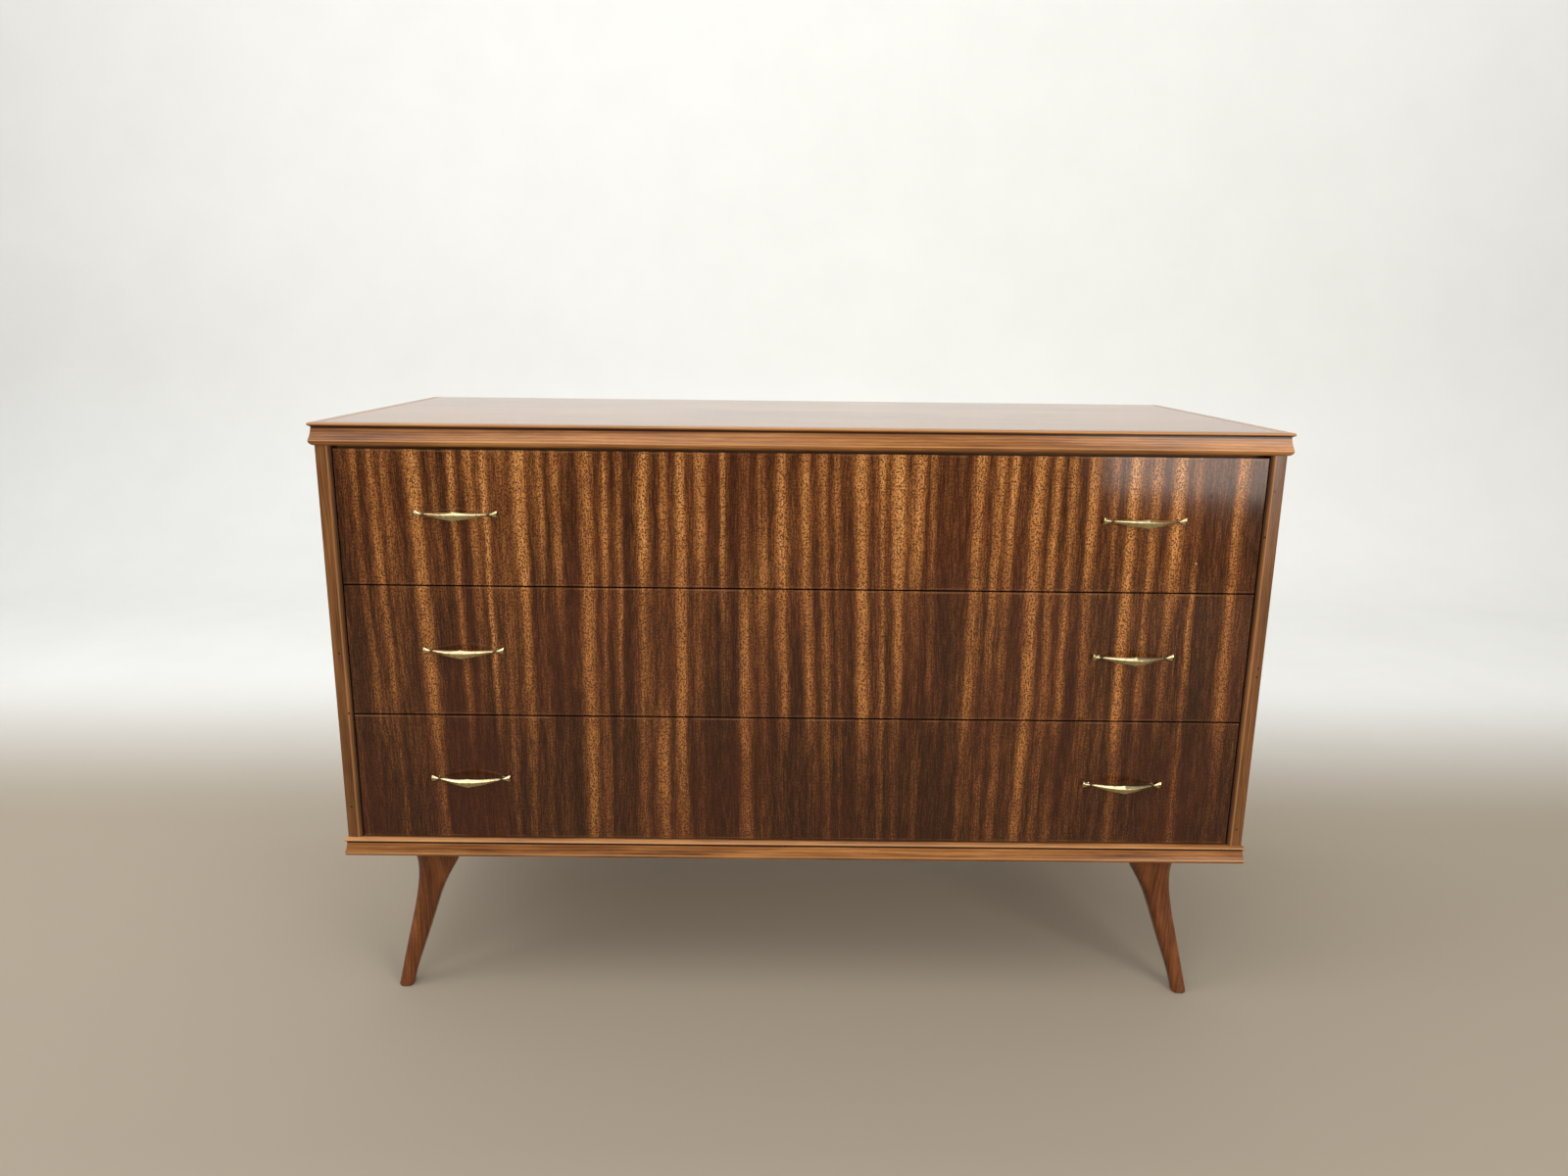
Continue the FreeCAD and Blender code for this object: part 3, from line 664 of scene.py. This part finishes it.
# %% Mix every wood
LEG_SHADES = (colour(60, 30, 13), colour(98, 53, 24), colour(132, 78, 38))
TOP_SHADES = (colour(66, 34, 15), colour(120, 72, 36), colour(172, 118, 66))
SIDE_SHADES = (colour(60, 32, 15), colour(104, 62, 31), colour(148, 98, 52))
INSIDE_SHADES = (colour(142, 104, 66), colour(176, 138, 94), colour(198, 162, 118))
FRAME_SHADES = (colour(104, 72, 43), colour(142, 104, 67), colour(170, 132, 90))
BACK_SHADES = (colour(126, 92, 60), colour(143, 107, 71), colour(158, 122, 84))
SMOOTH = 0.000003  # the polished top hardly shows its grain as relief

FINISHES = {
    "ribbon": RIBBON_VENEER,
    "top": plain_wood(
        "top_veneer", "x", *TOP_SHADES, 0.06, ring=7.5, bold=0.2, shine=1.62, depth=SMOOTH,
    ),
    "side": plain_wood("side_veneer", "z", *SIDE_SHADES, 0.14, ring=6, bold=0.16),
    "moulding_x": moulding_wood("moulding_wood", "x"),
    "moulding_y": moulding_wood("moulding_wood_side", "y"),
    "stile": stile_wood("stile_wood"),
    "leg": plain_wood("leg_wood", "z", *LEG_SHADES, 0.18, ring=4.5),
    "inside": plain_wood("drawer_wood", "y", *INSIDE_SHADES, 0.45),
    "inside_x": plain_wood("drawer_back_wood", "x", *INSIDE_SHADES, 0.45),
    "inside_sheet": plain_wood("drawer_plywood", "x", *INSIDE_SHADES, 0.5, ring=13, bold=0.04),
    "rail": plain_wood("rail_wood", "x", *FRAME_SHADES, 0.5),
    "runner": plain_wood("runner_wood", "y", *FRAME_SHADES, 0.5),
    "back": plain_wood("back_plywood", "x", *BACK_SHADES, 0.6, ring=17, bold=0.03),
    "base": plain_wood("base_board", "x", *FRAME_SHADES, 0.55, ring=12, bold=0.05),
}
print(len(FINISHES), "woods")

# %% [markdown]
# ## Metals
#
# The handles are cast and polished brass, the screws plain steel. Metal takes its look from
# reflections. One smooth yellow would look like plastic, so its colour stays nearly even and the
# interest lies in its roughness: fine polish marks along the bar and dull patches of tarnish. On the
# brass, painted shade darkens the lower facets and the necks.

# %% Brass and steel
NECK = 42.2  # mm from the middle of a handle to the thinnest part of its neck
POLISH_DEPTH = 0.00003


def metal(name, bright, tarnished, gloss):
    finish = Finish(name, Metallic=1.0)
    place = finish.place()
    patches = finish.rise(finish.noise(place, (6, 6, 6), 3, 0.6), 0.45, 0.68)
    scratches = finish.noise(place, (5, 0.3, 0.3), 2, 0.6)
    base = finish.mix(patches * 0.45, bright, tarnished)
    roughness = gloss + patches * 0.14 + scratches * 0.08
    return finish, base, roughness, scratches


def brass():
    """Pale polished brass, with painted shade: olive on the lower facets and dark at the necks."""
    bright = colour(242, 222, 172)
    tarnished = colour(150, 132, 88)
    finish, base, roughness, scratches = metal("brass", bright, tarnished, 0.1)
    along, _, up = finish.parts(finish.place())
    # Painted shade on the lower facets of the bar.
    under = 1 - finish.rise(up, -0.6, 1.0)
    base = finish.mix(under * 0.5, base, colour(132, 118, 68))
    # Painted shade at the thin necks.
    neck = finish.band(abs(along), NECK, 3.0)
    base = finish.mix(neck * 0.85, base, colour(38, 32, 20))
    return finish.wear(base, roughness + under * 0.1 + neck * 0.3, scratches, POLISH_DEPTH)


def steel():
    finish, *patterns = metal("steel", colour(176, 172, 164), colour(112, 100, 86), 0.3)
    return finish.wear(*patterns, POLISH_DEPTH)


FINISHES["brass"] = brass()
FINISHES["steel"] = steel()
print(len(FINISHES), "finishes in all")

# %% [markdown]
# ## The bow handles
#
# Each handle is one brass casting: a bar that bows out from the drawer and is a diamond in section,
# thickest in the middle; a thin neck at each end; and a small fishtail past the neck whose mouth opens
# outwards. The diamond's front ridge lies above its middle, so the lower facet is the taller one and
# shows dark under a bright edge. It could be carved from a cube with subdivision, but the facets and
# the slim necks need exact places. So the bar is lofted: a few given sections, a smooth curve through
# them, and each corner of the diamond cut by a narrow flat that catches the light as a rounded edge
# would.

# %% Sections of a handle
# Half of a handle from its middle out, in mm: place along it, how far it stands from the drawer,
# its height above and below that line, and half its depth.
HANDLE_SECTIONS = [
    (0.0, 19.4, 6.0, 6.7, 4.4), (2.2, 19.3, 5.4, 6.4, 4.3), (9.0, 18.4, 4.7, 5.5, 4.0),
    (19.5, 15.7, 3.9, 4.3, 3.5), (30.0, 11.2, 3.0, 3.1, 2.9), (38.0, 7.3, 2.2, 2.2, 2.3),
    (NECK, 5.5, 1.3, 1.3, 1.6),
]
TAIL_SECTIONS = [(46.0, 5.0, 2.2, 2.0, 1.7), (49.5, 5.0, 3.8, 3.2, 2.0), (54.0, 5.0, 6.1, 4.5, 2.0)]
MOUTH_DEPTH = 4.4
RIDGE_RISE = 0.34  # the ridge's height, as a share of the height above the line
EDGE_FLAT = 0.42
STEPS_PER_SPAN = 4
# The eight points of the last section, joined by three flat strips across the folded mouth.
MOUTH_FACES = ((0, 1, 2, 7), (7, 2, 3, 6), (6, 3, 4, 5))


def curve_between(before, start, end, after, share):
    """A point on the smooth curve from start to end, whose slopes look at the points either side."""
    point = []
    for p0, p1, p2, p3 in zip(before, start, end, after):
        slope_in = (p2 - p0) / 2
        slope_out = (p3 - p1) / 2
        square, cube = share ** 2, share ** 3
        point.append(
            (2 * cube - 3 * square + 1) * p1 + (cube - 2 * square + share) * slope_in
            + (3 * square - 2 * cube) * p2 + (cube - square) * slope_out
        )
    return point


def smooth_sections(sections, steps):
    """The chosen sections with more between them."""
    made = []
    for index in range(len(sections) - 1):
        before = sections[max(index - 1, 0)]
        after = sections[min(index + 2, len(sections) - 1)]
        for step in range(steps):
            share = step / steps
            made.append(curve_between(before, sections[index], sections[index + 1], after, share))
    return made + [list(sections[-1])]


def diamond_ring(along, stand, above, below, deep, mouth=0):
    """The eight points of one section; mouth pulls its sides back along the bar."""
    inward = -math.copysign(mouth, along)
    corners = [
        Vector((along, -stand, above)), Vector((along + inward, -stand - deep, above * RIDGE_RISE)),
        Vector((along, -stand, -below)), Vector((along + inward, -stand + deep, above * RIDGE_RISE)),
    ]
    ring = []
    for index, corner in enumerate(corners):
        for neighbour in (corners[index - 1], corners[(index + 1) % len(corners)]):
            ring.append(corner + (neighbour - corner).normalized() * EDGE_FLAT)
    return ring


def bar_mesh(half):
    """The bar, necks and tails as one closed skin, in mm about the middle of the handle."""
    rings = [diamond_ring(*section) for section in half[:-1]]
    rings.append(diamond_ring(*half[-1], mouth=MOUTH_DEPTH))
    mirrored = [[Vector((-p.x, p.y, p.z)) for p in ring] for ring in reversed(rings[1:])]
    shape = bmesh.new()
    loops = [[shape.verts.new(p) for p in ring] for ring in mirrored + rings]
    for first, second in zip(loops, loops[1:]):
        for index in range(len(first)):
            after = (index + 1) % len(first)
            shape.faces.new((first[index], first[after], second[after], second[index]))
    for loop in (loops[0], loops[-1]):
        for corners in MOUTH_FACES:
            shape.faces.new([loop[index] for index in corners])
    bmesh.ops.recalc_face_normals(shape, faces=shape.faces)
    return shape


half_bar = smooth_sections(HANDLE_SECTIONS + TAIL_SECTIONS, STEPS_PER_SPAN)
print("half a handle runs through", len(half_bar), "sections")

# %% [markdown]
# ## The handles' posts
#
# Behind each neck a short turned post stands on the drawer, widest where it touches the wood, and
# the screw from inside the drawer bites into it. A plain cylinder would look like a peg. The post
# is a lathe form, spun from its outline, and the bar and the two posts are welded by a Boolean so
# that the casting is one closed skin.

# %% Turn the posts
POST_OUTLINE = [
    (0, 0), (2.7, 0), (2.7, 0.4), (2.3, 0.9), (1.8, 1.6), (1.5, 2.6), (1.3, 3.8), (1.1, 4.8), (0, 5.0),
]
POST_PLACE = 43.0
POST_SIDES = 28


def spin(shape, outline, centre, sides):
    """Spins an outline of (radius, stand) about the line that runs out from the drawer."""
    rings = []
    for radius, stand in outline:
        if radius == 0:
            rings.append([shape.verts.new((centre, -stand, 0))] * sides)
            continue
        ring = []
        for side in range(sides):
            turn_by = 2 * math.pi * side / sides
            out, up = radius * math.cos(turn_by), radius * math.sin(turn_by)
            ring.append(shape.verts.new((centre + out, -stand, up)))
        rings.append(ring)
    for first, second in zip(rings, rings[1:]):
        for side in range(sides):
            after = (side + 1) % sides
            corners = (first[side], first[after], second[after], second[side])
            # Beside a ring that is one point, two of the corners are the same.
            shape.faces.new(list(dict.fromkeys(corners)))
    bmesh.ops.recalc_face_normals(shape, faces=shape.faces)


def mesh_from(shape, name):
    mesh = bpy.data.meshes.new(name)
    bmesh.ops.scale(shape, vec=(MM, MM, MM), verts=shape.verts)
    shape.to_mesh(mesh)
    shape.free()
    return mesh


def welded(name, base, *others):
    """The union of closed meshes, as a new mesh."""
    body = new_object(name, base)
    extras = [new_object(f"{name}_part", other) for other in others]
    for extra in extras:
        union = body.modifiers.new("weld", "BOOLEAN")
        union.operation = "UNION"
        union.solver = "EXACT"
        union.object = extra
    bpy.context.view_layer.update()
    depsgraph = bpy.context.evaluated_depsgraph_get()
    whole = bpy.data.meshes.new_from_object(body.evaluated_get(depsgraph))
    for item in [body, *extras]:
        bpy.data.objects.remove(item)
    return whole


posts = []
for side in (-1, 1):
    shape = bmesh.new()
    spin(shape, POST_OUTLINE, POST_PLACE * side, POST_SIDES)
    posts.append(mesh_from(shape, "post"))
handle_mesh = welded("casting", mesh_from(bar_mesh(half_bar), "bar"), *posts)
for face in handle_mesh.polygons:
    face.use_smooth = True
print("one casting:", len(handle_mesh.polygons), "faces")

# %% [markdown]
# ## Six handles in place
#
# A handle belongs where the model has its plain one: midway along that one, at the height of its
# screws, on the face of its drawer. The places could be typed in, but asking the model keeps them
# right if a size changes. Each handle has its own mesh, rides with its drawer and is shown
# instead of the model's handle.

# %% Fit six handles
def fit_handle(level, side):
    name = f"{level}_handle_{side}"
    low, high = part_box(name)
    screws_low, screws_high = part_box(f"{level}_handle_screws")
    face_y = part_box(f"{level}_drawer_front")[0].y
    piece = new_object(f"{level}_bow_{side}", handle_mesh.copy())
    piece.location = ((high.x + low.x) / 2, face_y, (screws_low.z + screws_high.z) / 2)
    weighted = piece.modifiers.new("even facets", "WEIGHTED_NORMAL")
    weighted.weight = 80
    piece.data.materials.append(FINISHES["brass"])
    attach(piece, f"{level}_drawer")
    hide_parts(name)
    return piece


handles = [fit_handle(level, side) for level in LEVELS for side in SIDES]
print([handle.name for handle in handles])

# %% [markdown]
# ## Softened edges
#
# No board has a knife edge: sandpaper and wear round it by part of a millimetre, and that thin
# round is what glints. The CAD boards are sharp. Their meshes stay as they are, and a Bevel
# modifier rounds what is shown.

# %% Round the boards' edges
def soften(name, width, segments=3):
    bevel = nodes[name].modifiers.new("softened edge", "BEVEL")
    bevel.width = width * MM
    bevel.segments = segments
    bevel.limit_method = "ANGLE"
    bevel.angle_limit = math.radians(40)
    bevel.harden_normals = True


SOFTENED = {f"{level}_drawer_front": 0.8 for level in LEVELS}
SOFTENED.update({f"front_stile_{side}": 0.7 for side in SIDES})
for name, width in SOFTENED.items():
    soften(name, width)
print("rounded by mm:", SOFTENED)

# %% [markdown]
# ## Giving every board its finish
#
# Each board of the frame keeps its shape and gets the finish with the grain along its length. A
# list of all the names would be long. This one goes by part of a name, so that all three drawers
# are served at once, and the first match counts.

# %% Dress the boards
FINISH_BY_NAME = [
    ("_screws", "steel"), ("_handle_", "brass"), ("_drawer_front", "ribbon"),
    ("_drawer_side_", "inside"), ("_drawer_back", "inside_x"), ("_drawer_bottom", "inside_sheet"),
    ("moulding_front", "moulding_x"), ("moulding_", "moulding_y"), ("top_panel", "top"),
    ("side_panel", "side"), ("front_stile", "stile"), ("leg_", "leg"), ("_rail", "rail"),
    ("_runner_", "runner"), ("kicker_", "runner"), ("drawer_stops", "runner"),
    ("back_panel", "back"), ("bottom_panel", "base"),
]


def finish_for(name):
    return next(FINISHES[kind] for part, kind in FINISH_BY_NAME if part in name)


for name, node in nodes.items():
    node.data.materials.clear()
    node.data.materials.append(finish_for(name))
print("every board has its finish")
